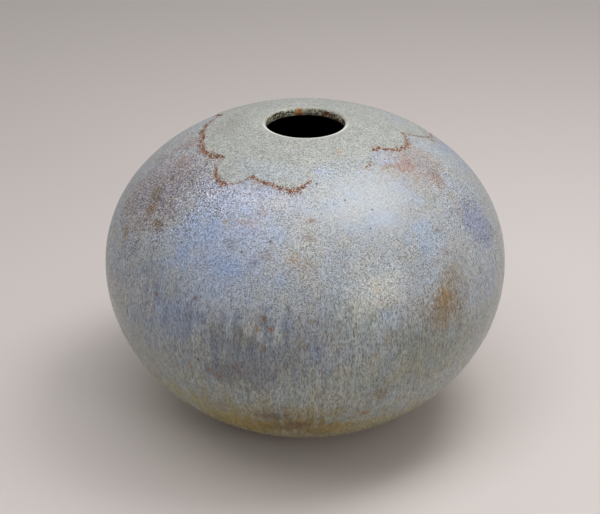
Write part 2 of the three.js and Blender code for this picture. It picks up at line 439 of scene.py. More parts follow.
def lower_bowl_section():
    """The lower half, with the floor and the tongue of the lap joint."""
    underside_turn = turn_at_radius(CLAY_RADIUS, UNDERSIDE_RADIUS, BELLY_FULLNESS)
    section = [(0.0, FOOT_HEIGHT), (UNDERSIDE_RADIUS, FOOT_HEIGHT)]
    section += belly_line(BLUE_GLAZE, underside_turn, 0, BOWL_STEPS)[1:]
    section += [(TONGUE_RADIUS, WIDEST_HEIGHT), (TONGUE_RADIUS, TONGUE_TOP)]
    section += [(clay_inside(TONGUE_TOP), TONGUE_TOP)]
    section += cut_line(inside_line(0, BOWL_STEPS), 0, TONGUE_TOP - CORNER_CLEARANCE)
    return section


def seam_slip_section():
    """Slip in the lap joint of the two bowls."""
    return [
        (CLAY_RADIUS, WIDEST_HEIGHT),
        *shoulder_line(BLUE_GLAZE, SEAM_TURN, SEAM_TURN, 0),
        (TONGUE_SLOT, WIDEST_HEIGHT + SLIP),
        (TONGUE_SLOT, SLOT_TOP),
        (clay_inside(SLOT_TOP), SLOT_TOP),
        (clay_inside(TONGUE_TOP), TONGUE_TOP),
        (TONGUE_RADIUS, TONGUE_TOP),
        (TONGUE_RADIUS, WIDEST_HEIGHT),
    ]


def upper_bowl_section():
    """The upper half, with the rebate that the collar drops into."""
    high_turn = turn_at_radius(CLAY_RADIUS, SEAT_HOLE, SHOULDER_FULLNESS)
    top = ceiling_height(PLUG_HOLE)
    section = shoulder_line(BLUE_GLAZE, SEAM_TURN, high_turn, BOWL_STEPS)
    section += [(SEAT_HOLE, LEDGE_HEIGHT), (PLUG_HOLE, LEDGE_HEIGHT), (PLUG_HOLE, top)]
    inside = inside_line(0, BOWL_STEPS)
    section += cut_line(inside, SLOT_TOP + CORNER_CLEARANCE, top - CORNER_CLEARANCE)
    section += [(clay_inside(SLOT_TOP), SLOT_TOP)]
    section += [(TONGUE_SLOT, SLOT_TOP), (TONGUE_SLOT, WIDEST_HEIGHT + SLIP)]
    return section


def collar_slip_section():
    """Slip in the rebate between the upper bowl and the collar."""
    return [
        (SEAT_HOLE, shoulder_height(SEAT_HOLE, BLUE_GLAZE)),
        (SEAT_RADIUS, shoulder_height(SEAT_RADIUS, BLUE_GLAZE)),
        (SEAT_RADIUS, SEAT_HEIGHT),
        (PLUG_RADIUS, SEAT_HEIGHT),
        (PLUG_RADIUS, ceiling_height(PLUG_RADIUS)),
        (PLUG_HOLE, ceiling_height(PLUG_HOLE)),
        (PLUG_HOLE, LEDGE_HEIGHT),
        (SEAT_HOLE, LEDGE_HEIGHT),
    ]


def mouth_collar_section():
    """The collar: a flange on the ledge, a plug below it, the throat and the lip."""
    section = collar_line(BLUE_GLAZE, COLLAR_STEPS)
    section += lip_line(0, LIP_STEPS)[1:]
    for radius in np.linspace(THROAT_RADIUS, PLUG_RADIUS, PLUG_POINTS):
        section.append((radius, ceiling_height(radius)))
    return [*section, (PLUG_RADIUS, SEAT_HEIGHT), (SEAT_RADIUS, SEAT_HEIGHT)]


def liner_section():
    """The glaze on the lip, in the throat and over the whole inside."""
    shown = lip_line(LINER_GLAZE, LINER_LIP_STEPS)
    inside = inside_line(-LINER_GLAZE, LINER_STEPS)
    throat = THROAT_RADIUS - LINER_GLAZE
    throat_foot = inside[0][1]
    landing = throat + LINER_CORNER
    landing_height = ceiling_height(landing) - LINER_GLAZE
    for share in np.linspace(0, 1, LINER_CORNER_POINTS):
        down = (1 - share) ** 2 * (throat_foot + LINER_CORNER)
        down += 2 * share * (1 - share) * throat_foot + share**2 * landing_height
        shown.append((throat + LINER_CORNER * share**2, down))
    past_corner = landing + LANDING_CLEARANCE
    shown += [place for place in inside if place[0] > past_corner or place[1] < WIDEST_HEIGHT]
    hidden = lip_line(COAT_GAP, LINER_BED_LIP_STEPS) + inside_line(-COAT_GAP, LINER_BED_STEPS)
    return hidden[::-1] + shown


def blue_glaze_section():
    """The blue coat, with the thick roll where it stopped running above the foot."""
    drop = WIDEST_HEIGHT - GLAZE_LINE_HEIGHT
    low_turn = turn_at_rise(BELLY_DROP, drop, BELLY_FULLNESS)
    high_turn = turn_at_radius(WIDEST_RADIUS, SEAT_RADIUS, SHOULDER_FULLNESS)
    shown = []
    for radius, height in belly_line(0, low_turn, 0, BLUE_BELLY_STEPS):
        share = min((height - GLAZE_LINE_HEIGHT) / GLAZE_ROLL_HEIGHT, 1)
        shown.append((radius + GLAZE_ROLL * math.sin(math.pi * math.sqrt(share)), height))
    shown[0] = (shown[0][0] - BLUE_GLAZE + COAT_GAP, GLAZE_LINE_HEIGHT)
    shown += shoulder_line(0, 0, high_turn, BLUE_SHOULDER_STEPS)[1:]
    shown += collar_line(0, COLLAR_STEPS)[1:]
    bed = BLUE_GLAZE - COAT_GAP
    bed_low_turn = turn_at_rise(BELLY_DROP - bed, drop - BED_CLEARANCE, BELLY_FULLNESS)
    bed_high_turn = turn_at_radius(WIDEST_RADIUS - bed, SEAT_RADIUS, SHOULDER_FULLNESS)
    hidden = belly_line(bed, bed_low_turn, 0, BLUE_BED_STEPS)
    hidden += shoulder_line(bed, 0, bed_high_turn, BLUE_BED_STEPS)[1:]
    hidden += collar_line(bed, BLUE_BED_COLLAR_STEPS)[1:]
    return shown + hidden[::-1]


# Turned pieces


def wire_turned_piece(wiring, section, steps_round, finish):
    """Revolves a closed section, given as a mesh of points in order."""
    points = wiring.add("GeometryNodeAttributeDomainSize", {"Geometry": section}, "Point Count")
    columns = wiring.whole("ADD", steps_round, 1)
    piece = wiring.add("GeometryNodeMeshGrid", {"Vertices X": columns, "Vertices Y": points}, "Mesh")
    index = wiring.add("GeometryNodeInputIndex", {})
    row = wiring.whole("MODULO", index, points)
    angle = wiring.whole("DIVIDE_FLOOR", index, points) / steps_round * (2 * math.pi)
    position = wiring.add("GeometryNodeInputPosition", {})
    sample = {"Geometry": section, "Value": position, "Index": row}
    place = wiring.add("GeometryNodeSampleIndex", sample, data_type="FLOAT_VECTOR", domain="POINT")
    place = wiring.add("ShaderNodeVectorRotate", {"Vector": place, "Angle": angle}, rotation_type="Z_AXIS")
    for step, settings in (
        ("SetPosition", {"Position": place}),
        ("MergeByDistance", {"Distance": WELD_DISTANCE}),
        ("SetShadeSmooth", {}),
        ("RealizeInstances", {}),
        ("SetMaterial", {"Material": finish}),
    ):
        piece = wiring.add("GeometryNode" + step, {"Geometry": piece, **settings})
    return [piece]


TURNED = new_tree(
    "turned piece",
    "GeometryNodeTree",
    {"Section": "Geometry", "Steps Round": "Int", "Finish": "Material"},
    {"Piece": "Geometry"},
    wire_turned_piece,
)


def socket_key(tree, name):
    """Identifier of a tree's named input, by which a modifier sets it."""
    for item in tree.interface.items_tree:
        if item.item_type == "SOCKET" and item.in_out == "INPUT" and item.name == name:
            return item.identifier
    raise KeyError(name)


def new_object(name, data):
    made = bpy.data.objects.new(name, data)
    bpy.context.scene.collection.objects.link(made)
    return made


def turned(name, section, steps_round, material):
    """A closed section, revolved to a closed piece."""
    closed = section if section[0][0] == 0.0 else [*section, section[0]]
    outline = bpy.data.meshes.new(name + " section")
    outline.from_pydata([(radius, 0.0, height) for radius, height in closed], [], [])
    made = new_object(name, outline)
    modifier = made.modifiers.new("turn", "NODES")
    modifier.node_group = TURNED
    modifier[socket_key(TURNED, "Steps Round")] = steps_round
    modifier[socket_key(TURNED, "Finish")] = material
    mesh = bpy.data.meshes.new_from_object(made.evaluated_get(bpy.context.evaluated_depsgraph_get()))
    made.modifiers.clear()
    made.data = mesh
    mesh.name = name
    mesh.set_sharp_from_angle(angle=SHARP_TURNED_EDGE)
    face_outwards(mesh)
    return made


def face_outwards(mesh):
    """Turns a closed mesh right side out, by the sign of its volume."""
    mesh.calc_loop_triangles()
    corners = np.zeros(len(mesh.loop_triangles) * 3, np.int32)
    mesh.loop_triangles.foreach_get("vertices", corners)
    places = np.zeros(len(mesh.vertices) * 3)
    mesh.vertices.foreach_get("co", places)
    first, second, third = np.moveaxis(places.reshape(-1, 3)[corners.reshape(-1, 3)], 1, 0)
    if (first * np.cross(second, third)).sum() < 0:
        mesh.flip_normals()


# The poured glaze


def ripple(azimuth, waves):
    """Uneven value between about -0.5 and 0.5 that closes on itself round the vase."""
    angle = math.radians(azimuth)
    reach = waves / (2 * math.pi)
    return noise.noise(Vector((reach * math.cos(angle), reach * math.sin(angle), waves)))


def pour_reach(azimuth):
    """Distance from the axis to the ragged edge of the poured glaze, at an azimuth in degrees."""
    reach = POUR_DISC
    for middle, distance_share, radius_share in POUR_LOBES:
        apart = math.radians(azimuth - middle)
        radius = radius_share * POUR_DISC
        distance = distance_share * POUR_DISC
        across = distance * math.sin(apart)
        if abs(across) < radius:
            reach = max(reach, distance * math.cos(apart) + math.sqrt(radius**2 - across**2))
    for depth, waves in POUR_RIPPLES:
        reach += depth * ripple(azimuth, waves)
    return reach


def rust_strength(azimuth):
    """How strongly rust gathers at the pour's edge there, between 0 and 1."""
    return float(np.interp(azimuth, *zip(*RUST_ALONG_EDGE)))


def pour_thickness(gap, rust):
    """Thickness of the poured glaze at a distance in from its edge, with a bead where rust gathers."""
    bead = POUR_BEAD * rust * math.exp(-(((gap - POUR_BEAD_PLACE) / POUR_BEAD_SPREAD) ** 2))
    rounded = math.sqrt(min(gap / POUR_ROUNDING, 1))
    feathered = min(gap / POUR_FEATHERING, 1)
    return POURED_GLAZE * (POUR_THINNING + bead) * (feathered + (rounded - feathered) * rust)


def poured_glaze_mesh():
    """A closed skin from the lip to the lobed edge, thickest just inside that edge."""
    inner = LIP_RADIUS + LIP_BAND
    shares = np.sin(np.linspace(0, QUARTER_TURN, POUR_ROWS))
    places = []
    edge_gaps = []
    rust = []
    for column in range(POUR_COLUMNS):
        azimuth = 360 * column / POUR_COLUMNS - 180
        angle = math.radians(azimuth)
        outer = pour_reach(azimuth)
        strength = rust_strength(azimuth)
        ring = []
        for share in shares:
            radius = inner + (outer - inner) * share
            lift = pour_thickness(outer - radius, strength) * min((radius - inner) / POUR_RAMP, 1)
            ring.append((radius, shoulder_height(radius, 0) + COAT_GAP + lift))
        for share in shares[::-POUR_BED_SKIP][1:]:
            radius = inner + (outer - inner) * share
            ring.append((radius, shoulder_height(radius, 0) + COAT_GAP))
        for radius, height in ring:
            places.append((radius * math.sin(angle), -radius * math.cos(angle), height))
            edge_gaps.append((outer - radius) / MM)
            rust.append(strength)
    rows = len(places) // POUR_COLUMNS
    faces = []
    for column in range(POUR_COLUMNS):
        here = column * rows
        there = (column + 1) % POUR_COLUMNS * rows
        for row in range(rows):
            after = (row + 1) % rows
            faces.append((here + row, there + row, there + after, here + after))
    mesh = bpy.data.meshes.new("poured_glaze_coat")
    mesh.from_pydata(places, [], faces)
    store(mesh, "edge_gap", edge_gaps)
    store(mesh, "edge_rust", rust)
    mesh.shade_smooth()
    mesh.set_sharp_from_angle(angle=SHARP_POUR_EDGE)
    face_outwards(mesh)
    return mesh


def store(mesh, name, values):
    """Keeps one number for each point of a mesh, for its material to read."""
    layer = mesh.attributes.new(name, "FLOAT", "POINT")
    layer.data.foreach_set("value", np.asarray(values, np.float32))


def store_pour_distance(mesh):
    """Keeps how far each point of the blue coat lies outside the pour's edge, in millimetres."""
    gaps = []
    rust = []
    for vertex in mesh.vertices:
        azimuth = math.degrees(math.atan2(vertex.co.x, -vertex.co.y))
        radius = math.hypot(vertex.co.x, vertex.co.y)
        below = FAR_FROM_POUR if vertex.co.z < WIDEST_HEIGHT else 0
        gaps.append((radius - pour_reach(azimuth)) / MM + below)
        rust.append(rust_strength(azimuth))
    store(mesh, "pour_gap", gaps)
    store(mesh, "edge_rust", rust)


# Effects that the finishes share, in millimetres and degrees

IN_MILLIMETRES = (1000.0, 1000.0, 1000.0)
FLOW_RADIUS = 140.0
# Azimuths over which the painted highlight on the lip's front fades out
LIP_HIGHLIGHT_AZIMUTHS = (100.0, 60.0)
PATCH_EDGE = (1.0, 0.25)
HALO_EDGE = (2.2, 0.8)
GRAIN_MIDDLE = 0.672
GRAIN_MIDDLE_DRIFT = 0.0148
COOL_TINT = tone(172, 187, 212)
WARM_TINT = tone(204, 190, 164)
RUST_GRAIN = 0.75
RUST_DARK = tone(62, 42, 32)
RUST_BROWN = tone(142, 91, 64)
RUST_PALE = tone(204, 180, 154)


def values(*labels):
    return dict.fromkeys(labels, "Float")


def shared(name, inputs, outputs):
    """Makes a shader group of the function under it, which then places that group in a material."""

    def make(wire):
        tree = new_tree(name, "ShaderNodeTree", inputs, outputs, wire)

        def place(wiring, *given):
            return wiring.add("ShaderNodeGroup", dict(zip(inputs, given)), *outputs, node_tree=tree)

        return place

    return make


PLACES = {"Place": "Vector", "Flow": "Vector", **values("Azimuth", "Dip", "Radius", "Height", "Lip Front")}


@shared("places on the vase", {}, PLACES)
def places_on_vase(wiring):
    """Where a point lies on the vase: millimetres, degrees from the front, degrees down from the top."""
    spot = wiring.add("ShaderNodeTexCoord", {}, "Object")
    place = wiring.vector("MULTIPLY", spot, IN_MILLIMETRES)
    x, y, z = wiring.add("ShaderNodeSeparateXYZ", {0: place}, "X", "Y", "Z")
    azimuth = wiring.math("DEGREES", wiring.math("ARCTAN2", x, y * -1.0))
    radius = wiring.math("SQRT", x * x + y * y)
    dip = wiring.math("ARCTAN2", radius, z - WIDEST_HEIGHT / MM)
    stretch = FLOW_RADIUS / wiring.math("MAXIMUM", radius, 1.0)
    flow = wiring.add("ShaderNodeCombineXYZ", {"X": x * stretch, "Y": y * stretch, "Z": dip * FLOW_RADIUS})
    # Share of the lip at the front, where a highlight is painted onto its pale glaze
    lip_highlight_share = wiring.fade(wiring.math("ABSOLUTE", azimuth), *LIP_HIGHLIGHT_AZIMUTHS)
    return place, flow, azimuth, wiring.math("DEGREES", dip), radius, z, lip_highlight_share


@shared("glaze grains", {"Place": "Vector", "Size": "Float"}, values("Shade", "Tint", "Chance"))
def grains(wiring, place, size):
    """Glaze grains: every cell of a fine pattern has a shade, a tint and a chance of its own."""
    return wiring.cells(place, size)[1]


@shared("grain shade", {"Color": "Color", **values("Shade", "Depth")}, {"Color": "Color"})
def grained(wiring, colour, shade, depth):
    """Gives each grain its own shade, the dark ones further from the middle than the pale ones."""
    skewed = wiring.math("POWER", shade, 0.5) - (depth * GRAIN_MIDDLE_DRIFT + GRAIN_MIDDLE)
    return [wiring.blend(1.0, colour, wiring.math("POWER", 2.0, skewed * depth), "MULTIPLY")]


@shared("warm and cool", {"Color": "Color", "Place": "Vector", **values("Size", "Share")}, {"Color": "Color"})
def warm_and_cool(wiring, colour, place, size, share):
    """Lets the colour wander between cool blue and warm grey, in patches of about the given size."""
    warm = wiring.fade(wiring.cloud(place, size, 4.0), 0.34, 0.66)
    return [wiring.blend(share, colour, wiring.blend(warm, COOL_TINT, WARM_TINT), "SOFT_LIGHT")]


@shared("ragged edge", {"Place": "Vector", **values("Size", "Strength")}, values("Ragged"))
def ragged_edge(wiring, place, size, strength):
    """Noise that frays the edges of patches."""
    return [wiring.frayed(place, size, strength)]


@shared("glaze specks", {"Place": "Vector", **values("Spacing", "Share", "Size")}, values("Mask"))
def specks(wiring, place, spacing, share, size):
    """Irregular specks: a share of the cells of a pattern holds a speck each."""
    ruffle = wiring.add("ShaderNodeTexNoise", {"Vector": place, "Scale": 0.9, "Detail": 1.0}, "Color")
    warp = wiring.vector("SUBTRACT", ruffle, (0.5, 0.5, 0.5))
    ruffled = wiring.vector("MULTIPLY_ADD", warp, (0.8, 0.8, 0.8), place)
    distance, (chance, reach, _) = wiring.cells(ruffled, spacing)
    reach = size * wiring.fade(reach, 0.0, 1.0, 0.5, 1.0)
    return [wiring.fade(reach - distance, -0.06, 0.1) * wiring.math("LESS_THAN", chance, share)]


MARKED_PLACE = values("Azimuth", "Dip", "Radius", "Ragged")
MARK = values("Middle Azimuth", "Middle Dip", "Half Width", "Half Height")


@shared("colour patch", {**MARKED_PLACE, **MARK}, values("Mask", "Halo"))
def colour_patch(wiring, azimuth, dip, radius, ragged, middle_azimuth, middle_dip, half_width, half_height):
    """A patch at a place on the vase, soft or ragged at its edge, and a halo round it."""
    turned_by = wiring.math("WRAP", azimuth - middle_azimuth, 180.0, -180.0)
    wide = wiring.math("RADIANS", turned_by) * radius / half_width
    tall = wiring.math("RADIANS", dip - middle_dip) * FLOW_RADIUS / half_height
    edge = wiring.math("SQRT", wide * wide + tall * tall) + ragged
    return wiring.fade(edge, *PATCH_EDGE), wiring.fade(edge, *HALO_EDGE)


RUST_PLACE = {"Place": "Vector", **values("Gap", "Strength", "Reach")}


@shared("edge rust", RUST_PLACE, {"Mask": "Float", "Color": "Color"})
def edge_rust(wiring, place, gap, strength, reach):
    """Grains of iron along the edge of the poured glaze, fewer with distance from it."""
    apart = (gap + wiring.frayed(place, 3.0, 4.0)) / ((strength + 0.05) * reach)
    density = wiring.fade(apart, 1.2, -0.2) * 0.8 + wiring.fade(gap, reach * 3.0, 0.0) * 0.26
    density = density * wiring.fade(strength, 0.0, 0.3) * wiring.fade(gap, -12.0, -6.0)
    shade, _, chance = wiring.cells(place, RUST_GRAIN)[1]
    colour = wiring.blend(wiring.fade(shade, 0.2, 0.62), RUST_DARK, RUST_BROWN)
    colour = wiring.blend(wiring.fade(shade, 0.84, 0.92), colour, RUST_PALE)
    return wiring.fade(density - chance, 0.0, 0.2), colour


class Finish(Wiring):
    """A material in the making, with the places on the vase."""

    def __init__(self, name):
        self.material = bpy.data.materials.new(name)
        self.material.use_nodes = True
        super().__init__(self.material.node_tree)
        places = places_on_vase(self)
        self.place, self.flow, self.azimuth, self.dip, self.radius, self.height, self.lip_highlight_share = places

    def patch(self, mark, ragged):
        """Mask and halo of a mark, given by azimuth, dip, half width and half height."""
        return colour_patch(self, self.azimuth, self.dip, self.radius, ragged, *mark)

    def stored(self, name):
        return self.add("ShaderNodeAttribute", {}, "Fac", attribute_name=name)

    def base(self, cloud, cloud_range, *tones):
        """A colour that wanders between two tones with the lumps of a cloud."""
        first, second = [tone(*colour) for colour in tones]
        return self.blend(self.fade(cloud, *cloud_range), first, second)

    def lay(self, colour, cover, coat):
        """Lays a colour over another one, as far as it covers that."""
        return self.blend(cover, colour, tone(*coat))

    def lay_drifts(self, colour, drifts, ragged):
        """Lays soft drifts of colour over each other."""
        for *mark, share, drift in drifts:
            mask, _ = self.patch(mark, ragged)
            colour = self.lay(colour, mask * share, drift)
        return colour

    def lay_stains(self, colour, stains, ragged, chance):
        """Lays soft stains with single darker grains, closer together the stronger the stain is."""
        for *mark, share, stain in stains:
            mask, _ = self.patch(mark, ragged)
            density = mask * share
            cover = self.fade(density - chance, 0.0, 0.15) * 0.5 + density * 0.4
            colour = self.lay(colour, cover, stain)
        return colour

    def lay_spots(self, colour, spots, ragged, halo_share=0.3):
        """Lays single ragged spots, each with a faint halo of the same colour."""
        for *mark, share, spot in spots:
            mask, halo = self.patch(mark, ragged)
            colour = self.lay(colour, halo * (halo_share * share), spot)
            colour = self.lay(colour, mask * share, spot)
        return colour

    def lay_rust(self, colour, gap_name, reach):
        """Lays rust along the pour's edge, and gives its mask too."""
        inputs = (self.place, self.stored(gap_name), self.stored("edge_rust"), reach)
        rust, rust_colour = edge_rust(self, *inputs)
        return self.blend(rust, colour, rust_colour), rust

    def done(self, colour, roughness, height, strength, depth):
        """Joins the colour, the roughness and the fine relief to the shader."""
        bump = self.add("ShaderNodeBump", {"Strength": strength, "Distance": depth * MM, "Height": height})
        shader = self.tree.nodes["Principled BSDF"]
        self.join(colour, shader.inputs["Base Color"])
        self.join(roughness, shader.inputs["Roughness"])
        self.join(bump, shader.inputs["Normal"])
        return self.material


# Marks on the glazes, each given by azimuth in degrees from the front, dip in degrees from the top,
# half width and half height in millimetres, share, and colour on a 0 to 255 scale

DRIFTS_AND_HIGHLIGHTS = [
    (-68, 56, 62, 52, 0.9, (146, 142, 149)),
    (-27, 60, 60, 64, 0.9, (150, 163, 187)),
    (-29, 47, 34, 17, 0.6, (170, 180, 205)),
    (26, 50, 50, 42, 0.7, (161, 170, 180)),
    (1, 59, 20, 28, 0.8, (168, 169, 166)),
    (15, 80, 26, 30, 0.6, (168, 176, 171)),
    (67, 67, 28, 28, 0.9, (138, 145, 165)),
    (-60, 80, 46, 34, 0.5, (147, 155, 166)),
    (-20, 54, 16, 9, 0.5, (160, 162, 190)),
    (-37, 60, 22, 16, 0.35, (144, 162, 192)),
    (-36, 82, 52, 30, 0.6, (140, 150, 168)),
    (22, 79, 5, 4, 0.8, (146, 160, 184)),
    # Partly the glaze's own pale patch, partly a painted highlight of the front fill lamp
    (21, 72, 28, 22, 0.75, (184, 188, 187)),
    # Painted highlight: carries the shoulder's highlight further left
    (-11, 46, 28, 12, 0.6, (174, 179, 189)),
    (-25, 43, 26, 10, 0.5, (171, 175, 195)),
    (-32, 60, 15, 13, 0.5, (142, 162, 194)),
    (-23, 67, 18, 10, 0.5, (140, 160, 194)),
    (-39, 68, 12, 12, 0.4, (142, 160, 192)),
    (-22, 74, 24, 13, 0.6, (164, 173, 188)),
    (-38, 47, 30, 17, 0.6, (170, 176, 196)),
    (50, 36, 9, 6, 0.7, (158, 174, 200)),
    (7, 34, 9, 5, 0.7, (158, 175, 202)),
    (41, 63, 24, 16, 0.55, (154, 172, 194)),
    (28, 53, 14, 16, 0.4, (164, 177, 196)),
    (110, 62, 52, 48, 0.8, (150, 160, 178)),
    (150, 58, 46, 40, 0.7, (145, 143, 150)),
    (-160, 66, 56, 52, 0.8, (149, 162, 185)),
    (-118, 62, 46, 46, 0.6, (160, 166, 172)),
]
BELLY_DRIFTS = [
    (-16, 91, 64, 33, 0.8, (113, 119, 127)),
    (-21, 96, 28, 17, 0.5, (98, 99, 103)),
    (-20, 85, 34, 17, 0.4, (98, 104, 112)),
    (2, 85, 40, 28, 0.55, (128, 134, 138)),
    (35, 95, 48, 44, 0.75, (132, 135, 124)),
    (-45, 91, 42, 28, 0.6, (134, 143, 156)),
    (-46, 75, 26, 15, 0.5, (128, 134, 146)),
    (-50, 90, 24, 20, 0.4, (132, 144, 164)),
    (14, 98, 26, 18, 0.4, (150, 156, 146)),
    (-38, 84, 36, 18, 0.5, (120, 134, 160)),
    (-4, 80, 16, 12, 0.4, (120, 134, 150)),
    (25, 86, 26, 16, 0.4, (126, 128, 116)),
    (22, 101, 26, 18, 0.5, (128, 126, 108)),
    (4, 88, 12, 12, 0.5, (126, 138, 162)),
    (46, 79, 22, 28, 0.55, (146, 138, 120)),
    (95, 92, 52, 28, 0.6, (128, 134, 138)),
    (165, 94, 60, 30, 0.8, (120, 126, 131)),
    (-120, 95, 56, 26, 0.7, (124, 130, 136)),
]
FOOT_DRIFTS = [
    (-11, 113, 90, 25, 0.85, (134, 128, 98)),
    (-44, 114, 40, 18, 0.85, (148, 142, 102)),
    (-28, 119, 42, 16, 0.9, (146, 138, 82)),
    (-17, 121.5, 48, 19, 0.95, (140, 122, 52)),
    (-4, 118, 38, 19, 0.85, (108, 90, 46)),
    (9, 121, 42, 17, 0.9, (136, 116, 58)),
    (21, 122, 32, 15, 0.85, (150, 142, 106)),
    (31, 120, 32, 14, 0.8, (154, 149, 122)),
    (42, 117, 32, 14, 0.7, (154, 150, 132)),
    (-75, 118, 50, 14, 0.7, (142, 134, 96)),
    (92, 119, 76, 18, 0.8, (144, 136, 104)),
    (150, 120, 64, 18, 0.85, (148, 128, 80)),
    (-150, 119, 64, 20, 0.85, (146, 134, 96)),
    (-105, 121, 60, 16, 0.85, (132, 114, 78)),
]
STAINS = [
    (-66, 57, 12, 10, 0.8, (108, 96, 66)),
    (-62, 60.5, 9, 9, 0.7, (124, 98, 68)),
    (-54, 63, 8, 6, 0.75, (122, 96, 72)),
    (-68, 71, 8, 6, 0.6, (140, 120, 86)),
    (-49, 68.5, 9, 7, 0.3, (132, 122, 98)),
    (-60, 46, 40, 20, 0.22, (124, 98, 86)),
    (-71, 44, 18, 13, 0.28, (146, 110, 92)),
    (-87, 41, 14, 14, 0.35, (150, 112, 94)),
    (-29, 55, 5, 4, 0.5, (158, 128, 94)),
    (-21, 54, 10, 3.5, 0.4, (164, 140, 116)),
    (-16, 50, 6, 6, 0.3, (156, 128, 108)),
    (-24, 61, 10, 7, 0.4, (104, 100, 88)),
    (-16, 65, 6, 5, 0.5, (98, 92, 112)),
    (-12.5, 62.5, 7, 5, 0.4, (112, 96, 80)),
    (-3.5, 63.5, 8, 6, 0.45, (162, 136, 112)),
    (1, 57, 8, 5, 0.45, (130, 106, 86)),
    (1, 65, 10, 6, 0.3, (146, 116, 102)),
    (61, 42, 38, 30, 0.42, (150, 116, 94)),
    (58.5, 40.5, 15, 11, 0.6, (152, 106, 76)),
    (65, 50.5, 10, 11, 0.55, (140, 104, 76)),
    (72, 46, 18, 16, 0.3, (142, 110, 94)),
    (46.5, 38, 8, 6, 0.6, (150, 122, 88)),
    (61, 61, 12, 8, 0.3, (124, 102, 88)),
    (46, 68.5, 6, 5, 0.4, (124, 98, 84)),
    (40, 81.5, 20, 20, 0.75, (132, 112, 84)),
    (41.5, 79.5, 12, 10, 0.5, (144, 112, 76)),
    (44, 74.5, 11, 11, 0.45, (132, 114, 88)),
    (38, 85, 21, 12, 0.55, (132, 114, 90)),
    (73, 73, 5, 8, 0.4, (148, 116, 96)),
    (38, 102, 8, 5, 0.35, (142, 112, 96)),
    (21, 104, 8, 10, 0.6, (120, 98, 66)),
    (-18, 94, 8, 8, 0.25, (118, 90, 78)),
    (-7, 109, 16, 9, 0.35, (112, 86, 66)),
    (-10, 112, 22, 7, 0.75, (86, 70, 52)),
    (-3, 116.5, 13, 7, 0.8, (92, 68, 34)),
    (-1, 113, 4, 7, 0.5, (142, 104, 60)),
    (5, 117.5, 15, 6, 0.5, (134, 110, 60)),
    (-15, 117.5, 24, 7, 0.6, (132, 112, 38)),
    (-128, 52, 14, 10, 0.55, (144, 108, 86)),
    (170, 76, 13, 19, 0.6, (126, 100, 70)),
    (132, 49, 16, 8, 0.5, (146, 112, 92)),
    (-150, 84, 11, 15, 0.45, (130, 106, 78)),
    (102, 84, 10, 16, 0.45, (128, 104, 76)),
]
IRON_SPOTS = [
    (2, 52, 2.4, 2.2, 0.7, (132, 86, 58)),
    (-11, 79, 2.6, 2.6, 0.8, (112, 82, 48)),
    (-9, 81.5, 1.8, 1.9, 0.75, (142, 94, 66)),
    (-12.5, 82, 1.8, 1.8, 0.6, (140, 110, 76)),
    (-11, 87, 2.2, 2.8, 0.6, (126, 102, 66)),
    (-32.5, 97.5, 2.2, 2.2, 0.55, (142, 114, 92)),
    (-26, 96.5, 2.0, 1.5, 0.7, (130, 92, 66)),
    (-24, 98, 2.8, 1.1, 0.8, (134, 88, 60)),
    (17.5, 112, 3.6, 2.4, 0.75, (128, 86, 52)),
    (46.5, 62, 2.0, 2.0, 0.7, (112, 84, 66)),
    (20, 72.5, 1.6, 2.2, 0.6, (196, 182, 168)),
    (21, 76, 1.6, 1.6, 0.5, (162, 138, 108)),
    (18, 79, 2.0, 1.8, 0.6, (132, 128, 88)),
    (21.5, 86, 2.2, 2.2, 0.5, (138, 124, 98)),
    (18, 90, 2.6, 2.4, 0.4, (150, 138, 114)),
    (-44, 80, 2.2, 2.4, 0.65, (112, 92, 74)),
    (-31, 77, 2.0, 1.6, 0.65, (112, 88, 80)),
    (2, 79, 2.0, 1.5, 0.6, (130, 112, 74)),
    (-0.5, 86, 1.1, 2.8, 0.6, (128, 108, 72)),
    (100, 47, 2.4, 2.4, 0.8, (120, 80, 54)),
    (125, 70, 2.6, 2.6, 0.8, (122, 84, 56)),
    (158, 86, 2.4, 2.6, 0.8, (134, 88, 56)),
    (-145, 72, 2.4, 2.4, 0.8, (120, 82, 56)),
    (-110, 58, 2.0, 2.0, 0.8, (124, 84, 58)),
    (-100, 90, 2.4, 2.6, 0.8, (132, 88, 56)),
]
# Pinholes and small pits as dark marks: their dark is painted shade inside the pits, which are not modelled
PINHOLE_SHADE_SPOTS = [
    (5.5, 39, 1.0, 1.1, 1.0, (16, 18, 26)),
    (16.5, 46, 1.0, 1.1, 1.0, (16, 18, 26)),
    (26, 50.5, 0.9, 1.0, 0.9, (30, 34, 44)),
    (22.5, 56, 0.9, 1.0, 0.9, (30, 34, 44)),
    (6, 50, 0.9, 0.9, 0.7, (60, 66, 76)),
    (-22.5, 42.5, 1.6, 1.6, 0.7, (84, 100, 104)),
    (-20, 62.5, 1.2, 1.2, 0.9, (40, 42, 44)),
    (-11.5, 58.5, 1.3, 1.5, 0.8, (60, 58, 58)),
    (-29.5, 94, 1.3, 1.3, 0.8, (50, 46, 52)),
    (10.5, 78.5, 1.6, 1.0, 0.8, (66, 70, 66)),
    (-4.5, 76, 1.0, 4.0, 0.7, (80, 88, 96)),
    (-57.5, 90.5, 1.1, 5.0, 0.85, (58, 60, 56)),
    (140, 54, 1.1, 1.1, 0.9, (36, 40, 48)),
    (-135, 60, 1.1, 1.1, 0.9, (36, 40, 48)),
    (175, 48, 1.1, 1.1, 0.9, (36, 40, 48)),
]
POUR_DRIFTS = [
    (-22, 36, 42, 22, 0.8, (163, 171, 177)),
    (22, 34, 34, 18, 0.7, (160, 167, 174)),
    (-95, 28, 30, 16, 0.6, (150, 150, 146)),
    (120, 38, 34, 18, 0.7, (161, 169, 176)),
]
POUR_SPOTS = [
    (26, 26, 2.2, 2.2, 0.6, (170, 140, 112)),
    (-32, 27, 2.0, 2.0, 0.5, (120, 122, 116)),
    (-30, 30, 1.5, 1.5, 0.6, (104, 112, 112)),
    (150, 30, 2.2, 2.2, 0.6, (160, 128, 98)),
]

